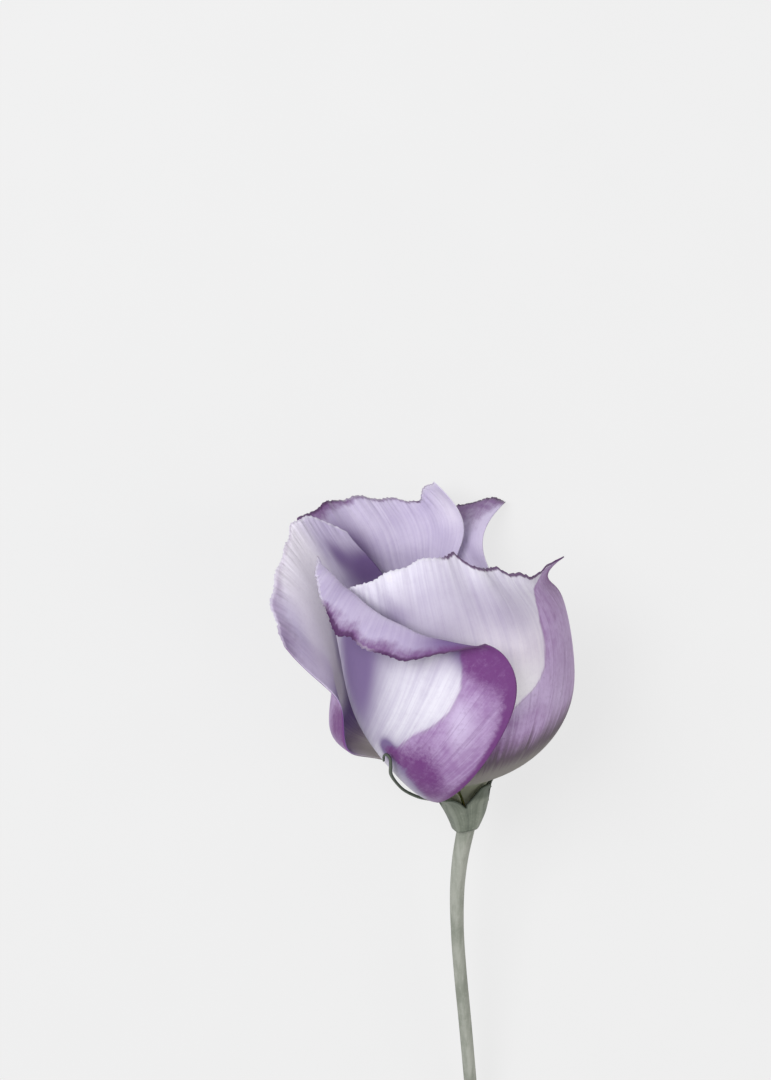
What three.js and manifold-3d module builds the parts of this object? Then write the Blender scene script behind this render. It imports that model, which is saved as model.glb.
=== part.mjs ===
// A cut lisianthus flower lying on a surface: one half-open bloom on its bare stem.
//
// Units are millimetres and +Z is up. The bloom points along +Y, the stem trails along -Y, and the origin
// is under the middle of the whole flower, on the surface. The flower rests on three low points: the flared
// lips of two petals at the back of the bloom, and the cut end of the stem.
//
// The bloom is drawn in its own frame. Its origin is the receptacle, where the corolla leaves the calyx. Its
// z axis is the axis of the bloom, its x axis points to the viewer's right, and its y axis points down into
// the surface. An azimuth of -90 degrees therefore faces straight up in the lying flower.

import * as THREE from 'three';
import { mergeVertices } from 'three/addons/utils/BufferGeometryUtils.js';
import { NURBSSurface } from 'three/addons/curves/NURBSSurface.js';
import Module from 'manifold-3d';

const wasm = await Module();
wasm.setup();

// Driving dimensions
const PITCH = 12;                 // degrees that the bloom's axis rises above the surface
const LEAN = 10;                  // degrees that it leans to the left
const RECEPTACLE = [8.33, 20.33, 24.82];  // its place over the middle of the flower's footprint
const BLADE = 0.62;               // thickness of a petal
const SEPAL_BLADE = 0.6;          // thickness of the calyx
const STEM_TOP = 2;               // radius of the stem under the calyx
const STEM_MIDDLE = 1.45;         // radius from a third of the way down
const STEM_END = 1.4;             // radius at the cut
const PETAL_COLUMNS = 24;         // cells across a petal
const PETAL_ROWS = 19;            // cells from its root to its rim
const RIM_ZONE = 0.72;            // share of a petal's length below its ruffled rim
const RAGGED = 0.002;             // share of a petal's length by which its rim is ragged

const radians = THREE.MathUtils.degToRad;

/** A point of the bloom from its azimuth in degrees, its distance from the axis and its height along it. */
function polar(azimuth, radius, height) {
  const angle = radians(azimuth);
  return new THREE.Vector3(radius * Math.cos(angle), radius * Math.sin(angle), height);
}

/** Below the petals the axis of the bloom curves over into the stem. */
function bendToStem(point) {
  const below = Math.min(point.z + 5, 0);
  point.x -= 0.028 * below * below;
  return point;
}

/** Turns a sheet of triangles into a closed blade of even thickness, split alike on both faces. */
function thicken(points, triangles, thickness) {
  const normals = points.map(() => new THREE.Vector3());
  const borders = new Map();
  for (const [a, b, c] of triangles) {
    const side = points[b].clone().sub(points[a]);
    const face = side.cross(points[c].clone().sub(points[a]));
    for (const corner of [a, b, c]) {
      normals[corner].add(face);
    }
    for (const [from, to] of [[a, b], [b, c], [c, a]]) {
      if (!borders.delete(`${to} ${from}`)) {
        borders.set(`${from} ${to}`, [from, to]);
      }
    }
  }
  const position = [];
  for (const sign of [1, -1]) {
    points.forEach((point, i) => {
      const moved = point.clone().addScaledVector(normals[i].clone().normalize(), sign * thickness / 2);
      position.push(...moved);
    });
  }
  const count = points.length;
  const index = [];
  for (const [a, b, c] of triangles) {
    index.push(a, b, c, a + count, c + count, b + count);
  }
  for (const [from, to] of borders.values()) {
    index.push(from, from + count, to, to, from + count, to + count);
  }
  const geometry = new THREE.BufferGeometry();
  geometry.setAttribute('position', new THREE.Float32BufferAttribute(position, 3));
  geometry.setIndex(index);
  return geometry;
}

/** Triangles of a grid of points stored row by row. */
function gridTriangles(columns, rows) {
  const triangles = [];
  for (let row = 0; row < rows; row++) {
    for (let column = 0; column < columns; column++) {
      const a = row * (columns + 1) + column;
      const b = a + columns + 1;
      triangles.push([a, a + 1, b + 1], [a, b + 1, b]);
    }
  }
  return triangles;
}

/** A round rod along a curve, with rings given as [distance along it, radius]. */
function rod(curve, rings, sides) {
  const length = curve.getLength();
  const normal = new THREE.Vector3(0, 1, 1).cross(curve.getTangentAt(0));
  const position = [];
  for (const [distance, radius] of rings) {
    const tangent = curve.getTangentAt(distance / length);
    const centre = curve.getPointAt(distance / length);
    normal.addScaledVector(tangent, -normal.dot(tangent)).normalize();
    const binormal = tangent.cross(normal);
    for (let side = 0; side < sides; side++) {
      const angle = (2 * Math.PI * side) / sides;
      const corner = centre.clone().addScaledVector(normal, Math.cos(angle) * radius);
      position.push(...corner.addScaledVector(binormal, Math.sin(angle) * radius));
    }
  }
  const last = (rings.length - 1) * sides;
  position.push(...curve.getPointAt(rings[0][0] / length), ...curve.getPointAt(rings.at(-1)[0] / length));
  const rootCentre = rings.length * sides;
  const index = [];
  for (let side = 0; side < sides; side++) {
    const next = (side + 1) % sides;
    for (let ring = 0; ring < last; ring += sides) {
      index.push(ring + side, ring + next, ring + next + sides);
      index.push(ring + side, ring + next + sides, ring + side + sides);
    }
    index.push(rootCentre, next, side, rootCentre + 1, last + side, last + next);
  }
  const geometry = new THREE.BufferGeometry();
  geometry.setAttribute('position', new THREE.Float32BufferAttribute(position, 3));
  geometry.setIndex(index);
  return geometry;
}

/** Joins closed geometries that cross each other into one closed body. */
function fuse(geometries) {
  const solids = geometries.map((geometry) => {
    const bare = geometry.clone();
    bare.deleteAttribute('normal');
    bare.deleteAttribute('uv');
    const merged = mergeVertices(bare, 1e-4);
    const mesh = new wasm.Mesh({
      numProp: 3,
      vertProperties: new Float32Array(merged.attributes.position.array),
      triVerts: new Uint32Array(merged.index.array),
    });
    return new wasm.Manifold(mesh);
  });
  const joined = solids.reduce((sum, solid) => sum.add(solid)).getMesh();
  const geometry = new THREE.BufferGeometry();
  geometry.setAttribute('position', new THREE.Float32BufferAttribute(joined.vertProperties, 3));
  geometry.setIndex(new THREE.Uint32BufferAttribute(joined.triVerts, 1));
  return geometry;
}

// Petals
// Each petal is a cubic B-spline sheet. Its net has six rows above the claw: the bowl at the bottom of the
// cup, the belly, the wall, the neck, the start of the flare and the rim. A row runs across the petal from
// its inner margin, which lies under the neighbour, to its outer margin, which lies over the next one. Every
// entry is [azimuth, radius, height]. "ruffle" is the height of the waves at the rim, "waves" is how many
// there are, and "phase" is the share of a wave with which they start.
const PETALS = {
  petal_front_left: {
    middle: -132,
    waves: 4,
    phase: 0.15,
    ruffle: 0.25,
    net: [
      [[-178, 13, 16], [-159, 14, 16], [-143, 15, 8], [-132, 16, 3.8], [-122, 16.3, 2.8]],
      [[-185, 20.5, 21.5], [-158, 22.8, 21], [-131, 25.2, 13.2], [-105, 26.5, 8.5], [-89, 26.5, 9.5]],
      [[-185, 20.8, 33], [-155, 24.3, 32.5], [-120, 28.3, 28], [-85, 30.5, 27], [-58, 31, 28]],
      [[-187, 21.5, 50], [-150, 21.5, 54], [-118, 23, 47], [-88, 27.5, 43], [-60, 30, 39]],
      [[-186, 21, 56], [-155, 20.5, 62], [-124, 24, 57], [-92, 28, 49], [-66, 29.5, 42]],
      [[-188, 22, 57.5], [-158, 25.5, 57.5], [-133, 33.5, 48], [-104, 34.5, 42.5], [-70, 30, 43.5]],
    ],
  },
  petal_front_right: {
    middle: -60,
    waves: 4.5,
    phase: 0.4,
    ruffle: 0.4,
    net: [
      [[-124, 14.5, 6], [-92, 16, 5.6], [-62, 17, 5.8], [-38, 17.8, 6], [-16, 18.4, 5.4]],
      [[-128, 21.5, 15], [-98, 24.5, 14], [-62, 27.5, 13.5], [-25, 28.2, 14], [2, 29, 15]],
      [[-131, 22.5, 30], [-98, 26.5, 30], [-60, 28.8, 30], [-18, 32.6, 30.5], [28, 33.2, 29]],
      [[-133, 20.5, 42], [-105, 23.5, 44], [-66, 25.5, 45], [-20, 30, 42], [24, 31.5, 38]],
      [[-142, 19.5, 50], [-112, 20, 53], [-70, 20, 56], [-30, 24, 47.5], [4, 24, 45]],
      [[-148, 19.5, 54.5], [-118, 18, 56.5], [-63, 15.5, 66], [-34, 21.5, 46.5], [-6, 31.5, 50.5]],
    ],
  },
  petal_right: {
    middle: 12,
    waves: 3.5,
    phase: 0.3,
    ruffle: 0.3,
    net: [
      [[-36, 14.8, 8], [-12, 15.8, 6.7], [12, 16.7, 5], [36, 17.5, 3.4], [60, 18.4, 2.2]],
      [[-33, 23.5, 16.5], [-8, 25.5, 15.5], [18, 27.3, 14.5], [46, 27.5, 14], [74, 28.2, 14]],
      [[25, 25, 25], [38, 27, 28], [52, 27.5, 31], [70, 28.3, 33], [96, 29, 34]],
      [[61, 26, 40], [66, 27, 42], [76, 28, 43], [92, 29, 44], [112, 30, 44]],
      [[62, 27, 50], [68, 28, 50], [80, 29, 51], [96, 30, 51], [112, 31.5, 50]],
      [[59, 41, 51.5], [66, 39.5, 52], [78, 37, 51.5], [94, 34.5, 50], [112, 33, 49.5]],
    ],
  },
  petal_back: {
    middle: 84,
    waves: 4,
    phase: 0.05,
    ruffle: 0.25,
    net: [
      [[36, 14.5, 5.5], [50, 15.3, 4.5], [68, 16, 3.8], [88, 16.8, 3], [108, 17.5, 2.3], [134, 18.4, 2]],
      [[26, 23, 16], [44, 24.5, 15.5], [66, 25.5, 15], [92, 26.7, 14.5], [118, 29, 14], [146, 30.3, 14]],
      [[56, 23, 32], [66, 24, 32], [78, 25.5, 32], [96, 27, 32], [120, 29.5, 32], [150, 31, 33]],
      [[84, 24, 44], [87, 25, 45], [91, 26, 45], [102, 27.5, 45], [122, 29.5, 46], [152, 30.5, 46]],
      [[58, 27, 51], [66, 27, 53], [82, 27, 50], [100, 28, 51], [124, 30, 54], [148, 31, 54]],
      [[80, 27, 62], [84, 30, 60], [89, 36, 53.5], [106, 40.5, 58.5], [124, 38.5, 60.5], [138, 34.5, 60.5]],
    ],
  },
  petal_left: {
    middle: 156,
    waves: 4.5,
    phase: 0.6,
    ruffle: 0.2,
    net: [
      [[108, 14.5, 7], [130, 16, 6.3], [156, 17.5, 10], [182, 19, 15], [211, 19.5, 15.5]],
      [[100, 24, 16], [128, 26.5, 15], [156, 29, 15.5], [184, 31.5, 16.8], [220, 31.5, 20]],
      [[104, 25, 34], [130, 27.5, 33], [155, 26, 31], [178, 22, 28], [203, 23, 27]],
      [[115, 24, 47], [135, 26, 46], [160, 26, 43], [182, 25, 37], [200, 26.5, 32.5]],
      [[124, 25, 52], [144, 27, 55], [166, 27, 54], [188, 27.5, 47], [200, 31.5, 39.5]],
      [[127, 25.5, 55.5], [146, 31.5, 67], [170, 29, 60], [190, 35.5, 51.5], [200, 34, 45]],
    ],
  },
};

/** The narrow claw below a petal: its root on the receptacle, its throat, and its collar above the calyx. */
function claw(middle, stations) {
  const root = [];
  const throat = [];
  const collar = [];
  for (let i = 0; i < stations; i++) {
    const across = i / (stations - 1);
    root.push([middle - 30 + 60 * across, 3.3 + 0.5 * across, -5]);
    throat.push([middle - 32 + 64 * across, 3.8 + 0.6 * across, -1.2 - 0.3 * across]);
    collar.push([middle - 36 + 72 * across, 4.6 + across, 3.4 - across]);
  }
  return [root, throat, collar];
}

/** Knots of a cubic spline that starts and ends on its first and last control point. */
function clampedKnots(count) {
  const knots = [0, 0, 0];
  for (let i = 0; i <= count - 3; i++) {
    knots.push(i / (count - 3));
  }
  return knots.concat([1, 1, 1]);
}

/** Points of a petal, row by row, from its smooth sheet with the ruffles and the ragged rim worked in. */
function petalPoints({ middle, waves, phase, ruffle, net }) {
  const rows = [...claw(middle, net[0].length), ...net];
  const control = rows.map((row) => row.map((entry) => new THREE.Vector4(...polar(...entry), 1)));
  const sheet = new NURBSSurface(3, 3, clampedKnots(rows.length), clampedKnots(net[0].length), control);
  const at = (along, across) => {
    const point = new THREE.Vector3();
    sheet.getPoint(along, across, point);
    return point;
  };
  const points = [];
  for (let row = 0; row <= PETAL_ROWS; row++) {
    for (let column = 0; column <= PETAL_COLUMNS; column++) {
      const across = column / PETAL_COLUMNS;
      const turn = 2 * Math.PI * (waves * across + phase);
      const ragged = 1 - RAGGED * (1 + Math.sin(1.37 * turn));
      const along = (row / PETAL_ROWS) * ragged;
      const rim = THREE.MathUtils.smoothstep(along, RIM_ZONE, 1);
      const step = 1e-3;
      const point = at(along, across);
      const lengthwise = at(Math.min(along + step, 1), across).sub(at(Math.max(along - step, 0), across));
      const crosswise = at(along, Math.min(across + step, 1)).sub(at(along, Math.max(across - step, 0)));
      const outward = crosswise.cross(lengthwise).normalize();
      const wave = ruffle * rim * rim * (Math.sin(turn) + 0.4 * Math.sin(1.6 * turn + 1));
      points.push(point.addScaledVector(outward, wave));
    }
  }
  return points;
}

// Calyx
// The cup's profile as [radius, height] up to the notches between the sepals, at the middle of the blade.
const CUP = [[2.87, -9.8], [3.18, -9], [3.9, -7.2], [4.6, -5.2], [5.3, -3.2]];
const SEPAL_TAPER = 6.5;          // length over which a sepal narrows from its fifth of the cup to a needle
const NEEDLE = 0.34;              // half the width of the needle
const KEEL = 0.4;                 // height of the ridge down the middle of a sepal

// Each sepal leaves the cup at its azimuth and runs along points that pass just outside the petals, given
// as [degrees turned, radius, height] and shared out over its rows of cells. The long one climbs the front
// left petal and ends in a hook.
const SEPALS = [
  {
    azimuth: -125,
    line: [
      [0, 5.3, -3.2], [0, 5.9, -1.6], [-1, 7.4, -0.3], [-3, 11.7, 2.2], [-6, 14.9, 4.3], [-7, 18.7, 7.9],
      [-2.5, 23.2, 13.4], [1.5, 25, 16.9], [2.5, 25.4, 18.8], [0.5, 25.3, 19.6], [-2, 24.8, 18.8],
      [-3, 24.6, 17.5],
    ],
    rows: 26,
  },
  {
    azimuth: -53,
    line: [[0, 5.3, -3.2], [4, 5.85, -1.6], [8, 6.45, -0.1], [11, 7, 0.6], [14, 7.8, 1.1]],
    rows: 8,
  },
  {
    azimuth: 19,
    line: [[0, 5.3, -3.2], [0, 5.9, -1.6], [0, 6.7, -0.3], [0, 9.5, 1.1], [0, 13.5, 2]],
    rows: 8,
  },
  {
    azimuth: 91,
    line: [[0, 5.3, -3.2], [0, 5.9, -1.6], [1, 6.7, -0.3], [2, 9.5, 1.1], [4, 13.5, 2]],
    rows: 8,
  },
  {
    azimuth: 163,
    line: [[0, 5.3, -3.2], [0, 5.9, -1.6], [0, 6.7, -0.3], [0, 7.8, 0.6], [0, 9.2, 1.2]],
    rows: 8,
  },
];

/** The calyx as one sheet: a ring of cells for the cup, and above each fifth of its rim a sepal. */
function calyxGeometry() {
  const across = [-1, -0.5, 0, 0.5];
  const ring = SEPALS.length * across.length;
  const points = [];
  const triangles = [];
  for (const [radius, height] of CUP) {
    for (const { azimuth } of SEPALS) {
      for (const x of across) {
        const keel = KEEL * (1 - Math.abs(x));
        points.push(polar(azimuth + 36 * x, radius + keel, height));
      }
    }
  }
  for (let row = 0; row < CUP.length - 1; row++) {
    for (let i = 0; i < ring; i++) {
      const a = row * ring + i;
      const b = row * ring + (i + 1) % ring;
      triangles.push([a, b, b + ring], [a, b + ring, a + ring]);
    }
  }
  const rim = (CUP.length - 1) * ring;
  SEPALS.forEach(({ azimuth, line, rows }, sepal) => {
    const curve = new THREE.CatmullRomCurve3(line.map(([turn, ...place]) => polar(azimuth + turn, ...place)));
    let below = [];
    for (let i = 0; i <= across.length; i++) {
      below.push(rim + (sepal * across.length + i) % ring);
    }
    for (let row = 1; row <= rows; row++) {
      const along = row / rows;
      const middle = curve.getPointAt(along);
      const radius = Math.hypot(middle.x, middle.y);
      const outward = new THREE.Vector3(middle.x, middle.y, 0).normalize();
      const sideways = curve.getTangentAt(along).cross(outward).normalize();
      const swing = sideways.y * outward.x - sideways.x * outward.y;
      const taper = 1 - (along * curve.getLength()) / SEPAL_TAPER;
      const width = Math.max(NEEDLE, radians(36) * CUP.at(-1)[0] * taper);
      const above = [];
      for (const x of [...across, 1]) {
        const keel = KEEL * (1 - Math.abs(x)) * (1 - along);
        const angle = Math.atan2(middle.y, middle.x) + (x * width * swing) / radius;
        above.push(points.length);
        points.push(polar(THREE.MathUtils.radToDeg(angle), radius + keel, middle.z + x * width * sideways.z));
      }
      for (let i = 0; i < across.length; i++) {
        triangles.push([below[i], below[i + 1], above[i + 1]], [below[i], above[i + 1], above[i]]);
      }
      below = above;
    }
  });
  return thicken(points.map(bendToStem), triangles, SEPAL_BLADE);
}

// Stem
// Rings of the stem as [distance from its top, radius]: the receptacle inside the calyx, then the stalk.
const RECEPTACLE_TOP = -5.65;
const STEM_RINGS = [
  [0, 3.6], [1.6, 3], [3.4, 2.2], [4.2, STEM_TOP], [9, 1.85], [18, 1.65], [30, STEM_MIDDLE],
];
const STEM_CUT = 103.5;
const STEM_STEP = 6;

// The stalk's line below the calyx, in the flower's lying position and measured from the receptacle.
const STALK = [
  [-0.3, -17.5, -3.8], [-0.9, -26, -5.7], [-0.7, -36, -7.9], [0.1, -46.5, -10.2],
  [1.4, -60, -13.2], [3.5, -84, -18.6], [5.4, -108, -23.88],
];

const LYING = new THREE.Euler(radians(PITCH - 90), 0, radians(LEAN), 'ZYX');

function stemGeometry() {
  const top = [RECEPTACLE_TOP, -6.6, -8.2, -9.8].map((height) => {
    return bendToStem(new THREE.Vector3(0, 0, height)).applyEuler(LYING);
  });
  const curve = new THREE.CatmullRomCurve3([...top, ...STALK.map((place) => new THREE.Vector3(...place))]);
  const rings = [...STEM_RINGS];
  for (let distance = 30 + STEM_STEP; distance < STEM_CUT; distance += STEM_STEP) {
    rings.push([distance, THREE.MathUtils.mapLinear(distance, 30, STEM_CUT, STEM_MIDDLE, STEM_END)]);
  }
  rings.push([STEM_CUT, STEM_END]);
  return rod(curve, rings, 12);
}

// Pistil
// Profile of the ovary and style as [radius, height], and the two lobes of the stigma on top.
const PISTIL = [
  [0, -5], [1.6, -5], [1.8, -3], [2.3, 0], [2.8, 3], [3, 6], [2.7, 9], [1.7, 12], [0.8, 14], [0.6, 18],
  [0.6, 25], [0, 25.4],
];
const LOBE = { size: [1.9, 1.2, 1.1], spread: 1.2, height: 25.6 };

function pistilGeometry() {
  const profile = PISTIL.map(([radius, height]) => new THREE.Vector2(radius, height));
  const parts = [new THREE.LatheGeometry(profile, 12).rotateX(Math.PI / 2)];
  for (const side of [-1, 1]) {
    const lobe = new THREE.SphereGeometry(1, 10, 6);
    lobe.scale(...LOBE.size);
    lobe.rotateY(side * 0.35);
    lobe.translate(side * LOBE.spread, 0, LOBE.height);
    parts.push(lobe);
  }
  return fuse(parts);
}

// Stamens
// Their ring sits round the foot of the ovary, and each filament follows [radius, height] points.
const RING = [[2.1, -5], [2.65, -5], [2.65, -4], [2.1, -4], [2.1, -5]];
const FILAMENT = [[2.38, -4.6], [2.85, -2], [3.35, 1], [4.4, 6], [5.5, 12], [6.3, 17.5]];
const FILAMENT_RADIUS = 0.32;
const ANTHER = [0.85, 0.85, 2.1];

function stamensGeometry() {
  const profile = RING.map(([radius, height]) => new THREE.Vector2(radius, height));
  const parts = [new THREE.LatheGeometry(profile, 20).rotateX(Math.PI / 2)];
  for (let stamen = 0; stamen < 5; stamen++) {
    const azimuth = 72 * stamen - 90;
    const line = FILAMENT.map(([radius, height]) => polar(azimuth, radius, height));
    const curve = new THREE.CatmullRomCurve3(line);
    const length = curve.getLength();
    const rings = [];
    for (let i = 0; i <= 8; i++) {
      rings.push([(length * i) / 8, FILAMENT_RADIUS]);
    }
    parts.push(rod(curve, rings, 6));
    const anther = new THREE.SphereGeometry(1, 8, 6).rotateX(Math.PI / 2);
    anther.scale(...ANTHER);
    anther.rotateY(radians(25));
    anther.rotateZ(radians(azimuth));
    anther.translate(...line.at(-1));
    parts.push(anther);
  }
  return fuse(parts);
}

// Assembly
const MATERIALS = {
  petal: new THREE.MeshStandardMaterial({ color: 0xd9cde6, roughness: 0.62, metalness: 0 }),
  calyx: new THREE.MeshStandardMaterial({ color: 0x7d8a72, roughness: 0.6, metalness: 0 }),
  stem: new THREE.MeshStandardMaterial({ color: 0x8d9382, roughness: 0.58, metalness: 0 }),
  pistil: new THREE.MeshStandardMaterial({ color: 0xb9bf7a, roughness: 0.55, metalness: 0 }),
  stamens: new THREE.MeshStandardMaterial({ color: 0xd8c069, roughness: 0.7, metalness: 0 }),
};

function piece(name, geometry, material) {
  geometry.computeVertexNormals();
  const mesh = new THREE.Mesh(geometry, material);
  mesh.name = name;
  return mesh;
}

const bloom = new THREE.Group();
bloom.rotation.copy(LYING);
for (const [name, petal] of Object.entries(PETALS)) {
  const sheet = thicken(petalPoints(petal), gridTriangles(PETAL_COLUMNS, PETAL_ROWS), BLADE);
  bloom.add(piece(name, sheet, MATERIALS.petal));
}
bloom.add(piece('calyx', calyxGeometry(), MATERIALS.calyx));
bloom.add(piece('pistil', pistilGeometry(), MATERIALS.pistil));
bloom.add(piece('stamens', stamensGeometry(), MATERIALS.stamens));

const flower = new THREE.Group();
flower.position.set(...RECEPTACLE);
flower.add(bloom);
flower.add(piece('stem', stemGeometry(), MATERIALS.stem));

export default flower;
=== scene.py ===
# A cut lisianthus flower, half open, lying on a pale surface and seen from above.
# Sizes of the flower are written in millimetres and the meshes are scaled to metres at the end.

import math

import bmesh
import bpy
import numpy as np
from mathutils import Matrix, Vector


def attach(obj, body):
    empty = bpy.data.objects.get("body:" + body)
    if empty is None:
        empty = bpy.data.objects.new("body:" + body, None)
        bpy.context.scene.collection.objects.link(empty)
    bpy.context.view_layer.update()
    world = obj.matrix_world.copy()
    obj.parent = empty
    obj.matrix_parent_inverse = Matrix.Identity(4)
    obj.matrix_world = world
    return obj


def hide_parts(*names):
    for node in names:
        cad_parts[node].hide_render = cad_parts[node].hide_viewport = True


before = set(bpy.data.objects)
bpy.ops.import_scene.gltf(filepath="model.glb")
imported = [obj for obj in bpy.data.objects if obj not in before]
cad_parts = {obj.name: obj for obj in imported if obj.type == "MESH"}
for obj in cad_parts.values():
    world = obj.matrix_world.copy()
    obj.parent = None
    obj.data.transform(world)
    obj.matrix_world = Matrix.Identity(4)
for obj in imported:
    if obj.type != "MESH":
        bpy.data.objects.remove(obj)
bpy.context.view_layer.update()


# Studio
# A pale table under an even sky, with one large soft lamp to the upper left that models the flower and a
# weaker, warmer one on the right. The camera looks down on it, eight degrees off the vertical, and is
# placed from RECEPTACLE, the point where the bloom stands on its stem.
RECEPTACLE = Vector((8.33, 20.33, 24.82))
LENS, SENSOR = 100, 36
CAMERA_TILT = math.radians(8)
CAMERA_DISTANCE = 660
CAMERA_SIDE, CAMERA_UP = -16.83, 53.9
SKY_COLOUR, SKY_STRENGTH = (0.95, 0.96, 1, 1), 0.55
LAMP_TARGET = Vector((0, 0.04, 0.03))

scene = bpy.context.scene
scene.view_settings.view_transform = "Standard"
scene.view_settings.look = "None"

camera_turn = Matrix.Rotation(-CAMERA_TILT, 3, "X")
camera_offset = camera_turn @ Vector((CAMERA_SIDE, CAMERA_UP, CAMERA_DISTANCE))
camera_data = bpy.data.cameras.new("camera")
camera_data.lens = LENS
camera_data.sensor_width = SENSOR
camera = bpy.data.objects.new("camera", camera_data)
camera.location = (RECEPTACLE + camera_offset) / 1000
camera.rotation_euler = camera_turn.to_euler()
scene.collection.objects.link(camera)
scene.camera = camera

world = bpy.data.worlds.new("studio")
world.use_nodes = True
world.node_tree.nodes["Background"].inputs["Color"].default_value = SKY_COLOUR
world.node_tree.nodes["Background"].inputs["Strength"].default_value = SKY_STRENGTH
scene.world = world


def soft_lamp(name, place, size, watts, colour):
    data = bpy.data.lights.new(name, "AREA")
    data.size = size
    data.energy = watts
    data.color = colour
    lamp = bpy.data.objects.new(name, data)
    lamp.location = place
    towards = LAMP_TARGET - lamp.location
    lamp.rotation_euler = towards.to_track_quat("-Z", "Y").to_euler()
    scene.collection.objects.link(lamp)


soft_lamp("key", (-0.42, 0.34, 0.85), 0.5, 8.5, (0.97, 0.97, 1))
soft_lamp("fill", (0.6, -0.1, 0.6), 0.6, 2.3, (1, 0.96, 0.92))


class Shade:
    """A socket of a material. Arithmetic on it adds Math nodes."""

    def __init__(self, skin, socket):
        self.skin = skin
        self.socket = socket

    def math(self, operation, *values):
        return self.skin.add("ShaderNodeMath", {"operation": operation}, *values)

    def __add__(self, other):
        return self.math("ADD", self, other)

    def __sub__(self, other):
        return self.math("SUBTRACT", self, other)

    def __rsub__(self, other):
        return self.math("SUBTRACT", other, self)

    def __mul__(self, other):
        return self.math("MULTIPLY", self, other)

    def __abs__(self):
        return self.math("ABSOLUTE", self)

    __radd__ = __add__
    __rmul__ = __mul__

    def between(self, low, high):
        """0 at low, 1 at high, smooth in between and level beyond."""
        settings = {"interpolation_type": "SMOOTHSTEP"}
        return self.skin.add("ShaderNodeMapRange", settings, self, low, high)


class Skin:
    """A material, and the one way in which its nodes are added."""

    def __init__(self, name):
        self.material = bpy.data.materials.new(name)
        self.material.use_nodes = True
        self.nodes = self.material.node_tree.nodes
        self.links = self.material.node_tree.links
        self.surface = self.nodes["Principled BSDF"]

    def add(self, kind, settings, *values, out=0):
        node = self.nodes.new(kind)
        for key, value in settings.items():
            setattr(node, key, value)
        for socket, value in zip((s for s in node.inputs if s.enabled), values):
            if isinstance(value, Shade):
                self.links.new(value.socket, socket)
            elif value is not None:
                socket.default_value = value
        return Shade(self, [s for s in node.outputs if s.enabled][out])

    def attribute(self, name):
        return self.add("ShaderNodeAttribute", {"attribute_name": name}, out=2)

    def object_place(self):
        return self.add("ShaderNodeTexCoord", {}, out=3)

    def uv_place(self, name):
        """Both coordinates of a piece's own UV map."""
        across = self.add("ShaderNodeSeparateXYZ", {}, self.add("ShaderNodeUVMap", {"uv_map": name}))
        return across, Shade(self, across.socket.node.outputs[1])

    def vector(self, x=0.0, y=0.0, z=0.0):
        return self.add("ShaderNodeCombineXYZ", {}, x, y, z)

    def noise(self, place, scale, detail=2.0, roughness=0.5):
        """Fractal noise that stays near 0.5."""
        settings = {"noise_dimensions": "3D"}
        return self.add("ShaderNodeTexNoise", settings, place, scale, detail, roughness)

    def mix(self, share, first, second):
        first, second = [c if isinstance(c, Shade) else (*c, 1) for c in (first, second)]
        return self.add("ShaderNodeMix", {"data_type": "RGBA"}, share, first, second)

    def set(self, **values):
        """Feeds or sets sockets of the Principled shader, named with underscores for blanks."""
        for name, value in values.items():
            socket = self.surface.inputs[name.replace("_", " ")]
            if isinstance(value, Shade):
                self.links.new(value.socket, socket)
            else:
                socket.default_value = value

    def bump(self, height, strength, distance):
        normal = self.add("ShaderNodeBump", {}, strength, distance)
        node = normal.socket.node
        self.links.new(height.socket, node.inputs["Height"])
        self.links.new(normal.socket, self.surface.inputs["Normal"])


table = bmesh.new()
bmesh.ops.create_grid(table, x_segments=1, y_segments=1, size=6)
table_mesh = bpy.data.meshes.new("table")
table.to_mesh(table_mesh)
table_object = bpy.data.objects.new("table", table_mesh)
scene.collection.objects.link(table_object)
table_skin = Skin("pale_table")
table_tone = table_skin.noise(table_skin.object_place(), 40, 3)
table_skin.set(
    Base_Color=table_skin.mix(table_tone, (0.10, 0.10, 0.098), (0.11, 0.11, 0.108)),
    Roughness=0.9,
    Specular_IOR_Level=0.1,
    Emission_Color=(1, 1, 1, 1),
    Emission_Strength=0.72,
)
table_mesh.materials.append(table_skin.material)


# Petals
# Five thin, soft petals in a twist: each one's right margin lies over the next. Outside they are white where
# the neighbour covered them in the bud and purple where they were bare. Inside they are pale lilac with a
# purple, finely ruffled rim. Light shines through them.
# PITCH and LEAN turn the bloom's axis up from the table and to the left. BLADE is a petal's thickness. The
# rim waves from RIM_ZONE up, and it is crimped from CRIMP_ZONE up.
PITCH = math.radians(12)
LEAN = math.radians(10)
bloom_turn = Matrix.Rotation(LEAN, 3, "Z") @ Matrix.Rotation(PITCH - math.pi / 2, 3, "X")

COLUMNS, ROWS = 150, 120
BLADE = 0.3
RIM_ZONE = 0.72
RAGGED = 0.002
CRIMP_ZONE = 0.93

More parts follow.
